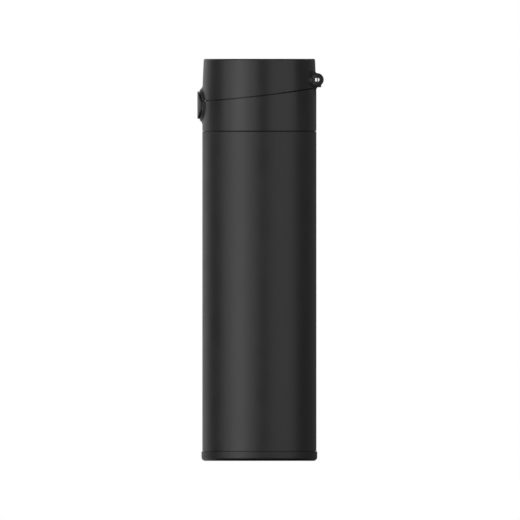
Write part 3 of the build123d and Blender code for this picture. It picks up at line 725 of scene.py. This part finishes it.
# ------------------------------------------------------------------ lid insert
insert_low, insert_high = box_mm("thread_ring")
RING_R, RING_Z, RING_TOP_Z = insert_high[0], insert_low[2], insert_high[2]
DECK_Z, THREAD_BORE, SPOUT_HOLE_R, GROOVE_R = 206.3, 28.5, 22.6, RING_R - 0.7
bore_rows = [(THREAD_BORE, z) for z in np.linspace(DECK_Z, RING_Z + 0.5, 110)]
insert = np.concatenate((
    rounded([(THREAD_BORE, RING_Z + 0.5, 0), (THREAD_BORE, RING_Z, 0.4), (RING_R, RING_Z, 0.4),
             (RING_R, 197.6, 0.3), (GROOVE_R, 198.4, 0.3), (GROOVE_R, 205.9, 0.3),
             (RING_R, 206.6, 0.3), (RING_R, RING_TOP_Z, 0.2), (SPOUT_HOLE_R, RING_TOP_Z, 0.4),
             (SPOUT_HOLE_R, DECK_Z, 0.4), (THREAD_BORE, DECK_Z, 0)], closed=False),
    bore_rows[1:-1]))
lathe("thread_insert", insert, "lid_base", "insert_plastic", ["thread_ring"],
      shift=thread(THREAD_BORE, -1.1, 196.8, 1.0))

# ------------------------------------------------------------------ mouthpiece
mouth_low, mouth_high = box_mm("mouthpiece")
STEM_R, STEM_Z, RIM_Z = 23.0, mouth_low[2], mouth_low[2] + 24.9
FLANGE_R, FLANGE_Z, FLANGE_TOP_Z = mouth_high[0], 204.75, 206.2
lathe("spout",
      rounded([(STEM_R - 1.6, STEM_Z, 0.5), (19.8, 205.0, 3), (18.2, 211.0, 3),
               (16.6, 216.4, 0.8), (17.3, RIM_Z, 0.7), (18.85, RIM_Z, 0.75),
               (21.5, FLANGE_TOP_Z, 0.6), (FLANGE_R, FLANGE_TOP_Z, 0.3),
               (FLANGE_R, FLANGE_Z, 0.3), (STEM_R, FLANGE_Z, 0.1), (STEM_R, STEM_Z, 0.5)]),
      "mouthpiece", "insert_plastic", ["mouthpiece"])

gasket_low, gasket_high = box_mm("neck_seal")
GASKET_IN, GASKET_R, BEAD_H = 23.1, 23.7, 0.5
GASKET_OUT, GASKET_Z, GASKET_TOP_Z = gasket_high[0], gasket_low[2], gasket_high[2]
beads = [(GASKET_R + high, GASKET_Z + start + up, fillet) for start in (0.9, 2.9)
         for high, up, fillet in ((0, 0, 0.1), (BEAD_H, 0.4, 0.15), (BEAD_H, 0.9, 0.15),
                                  (0, 1.3, 0.1))]
lathe("neck_gasket",
      rounded([(GASKET_IN, GASKET_Z, 0), (GASKET_R, GASKET_Z, 0.1), *beads,
               (GASKET_R, GASKET_TOP_Z - 0.8, 0.1), (GASKET_OUT, GASKET_TOP_Z - 0.8, 0.2),
               (GASKET_OUT, GASKET_TOP_Z, 0.2), (GASKET_IN, GASKET_TOP_Z, 0)], steps=3),
      "mouthpiece", "silicone", ["neck_seal"])

# ------------------------------------------------------------------ springs
COIL_R, WIRE_R, COIL_TURNS, LOW_Y, HIGH_Y = 2.4, 0.4, 7.5, -3.8, 3.6
wind = np.linspace(0, 1, 260)
angle = 2 * pi * COIL_TURNS * wind
coil = np.stack((HINGE[0] + COIL_R * np.cos(angle), LOW_Y + (HIGH_Y - LOW_Y) * wind,
                 HINGE[2] - COIL_R * np.sin(angle)), axis=-1)
tube("hinge_spring_coil", coil, WIRE_R, "lid_base", "spring_steel", ["hinge_spring"])
tube("hinge_spring_foot", [(HINGE[0] + COIL_R, LOW_Y - 0.2, HINGE[2] - z)
                           for z in (2.0, 1.3, 0.6, 0)], WIRE_R, "lid_base", "spring_steel")
tube("hinge_spring_arm", [(HINGE[0] - COIL_R, HIGH_Y + 0.06 * z, HINGE[2] + z)
                          for z in (0, 2.4, 4.8, 7.2)], WIRE_R, "cap", "spring_steel")
PUSH_X, PUSH_L, PUSH_R, PUSH_TURNS, PUSH_WIRE_R = -33.0, 2.5, 1.5, 3.5, 0.19
wind = np.linspace(0, 1, 120)
angle = 2 * pi * PUSH_TURNS * wind
push = np.stack((PUSH_X + PUSH_L * wind, PUSH_R * np.sin(angle),
                 SPRING_Z + PUSH_R * np.cos(angle)), axis=-1)
tube("button_spring_wire", push, PUSH_WIRE_R, "lid_base", "spring_steel", ["button_spring"],
     sides=8)

# the remaining CAD nodes keep their shape and take the same materials
for name, obj in frame["nodes"].items():
    obj.data.materials.clear()
    obj.data.materials.append(MATERIALS[NODE_SLOTS[name]])

# ------------------------------------------------------------------ camera, floor and light
FRAME_W = 302.6 * MM
CAMERA_X, CAMERA_Z, CAMERA_DISTANCE = 0.37 * MM, 116.9 * MM, 1.0
MIDDLE_Z = 0.117   # half the flask's height
camera = bpy.data.objects.new("camera", bpy.data.cameras.new("camera"))
camera.data.type = "ORTHO"
camera.data.ortho_scale = FRAME_W
camera.location = (CAMERA_X, -CAMERA_DISTANCE, CAMERA_Z)
camera.rotation_euler = (pi / 2, 0, 0)
scene.collection.objects.link(camera)
scene.camera = camera


def softbox(name, turn, height, distance, size, power):
    """A rectangular light that faces the flask.

    turn is in degrees from the camera, + to the right, the rest in metres and watts."""
    lamp = bpy.data.lights.new(name, "AREA")
    lamp.shape, (lamp.size, lamp.size_y), lamp.energy = "RECTANGLE", size, power
    obj = bpy.data.objects.new(name, lamp)
    a = radians(turn)
    obj.location = (distance * sin(a), -distance * cos(a), height)
    aim = Vector((0, 0, MIDDLE_Z)) - obj.location
    obj.rotation_euler = aim.to_track_quat("-Z", "Y").to_euler()
    obj.visible_camera = False
    scene.collection.objects.link(obj)


# the first four light the sides, the last one the cap's top and the open cap
softbox("key", -42, MIDDLE_Z, 1.3, (2.0, 1.9), 12)
softbox("key_core", -41, MIDDLE_Z, 1.3, (0.62, 1.9), 3)
softbox("fill", 48, MIDDLE_Z, 1.3, (1.5, 1.9), 6.5)
softbox("rim", -150, MIDDLE_Z, 1.3, (1.4, 1.9), 4.3)
softbox("back", 180, 0.95, 0.75, (0.9, 0.9), 3.0)

world = bpy.data.worlds.new("world")
world.use_nodes = True
scene.world = world
nodes, links = world.node_tree.nodes, world.node_tree.links
background = nodes["Background"]
path = nodes.new("ShaderNodeLightPath")
# the camera sees white; for other rays the room is lighter at the flask's height than above
# and below it
heading = nodes.new("ShaderNodeTexCoord")
upward = nodes.new("ShaderNodeSeparateXYZ")
steep = nodes.new("ShaderNodeMath")
steep.operation = "ABSOLUTE"
room = nodes.new("ShaderNodeMapRange")
room.interpolation_type = "SMOOTHSTEP"
set_inputs(room, From_Min=0.25, From_Max=0.65, To_Min=0.165, To_Max=0.02)
links.new(heading.outputs["Generated"], upward.inputs["Vector"])
links.new(upward.outputs["Z"], steep.inputs[0])
links.new(steep.outputs["Value"], room.inputs["Value"])
level = nodes.new("ShaderNodeMapRange")
set_inputs(level, To_Max=1.0)
links.new(room.outputs["Result"], level.inputs["To Min"])
links.new(path.outputs["Is Camera Ray"], level.inputs["Value"])
links.new(level.outputs["Result"], background.inputs["Strength"])
set_inputs(background, Color=(1, 1, 1, 1))
scene.view_settings.view_transform = "Standard"

FLOOR_R, FLOOR_SIDES, FLOOR_Z = 0.4, 128, -0.0003
floor_mesh = bpy.data.meshes.new("floor")
floor_mesh.from_pydata([(FLOOR_R * cos(2 * pi * k / FLOOR_SIDES),
                         FLOOR_R * sin(2 * pi * k / FLOOR_SIDES), FLOOR_Z)
                        for k in range(FLOOR_SIDES)], [], [tuple(range(FLOOR_SIDES))])
ground = bpy.data.objects.new("floor", floor_mesh)
scene.collection.objects.link(ground)
material, nodes, links, shader = node_tree("floor")
set_inputs(shader, Base_Color=(0.8, 0.8, 0.8, 1), Roughness=0.9,
           Emission_Color=(1, 1, 1, 1), Emission_Strength=0.9)
floor_mesh.materials.append(material)
ground.visible_glossy = False
ground.visible_diffuse = False
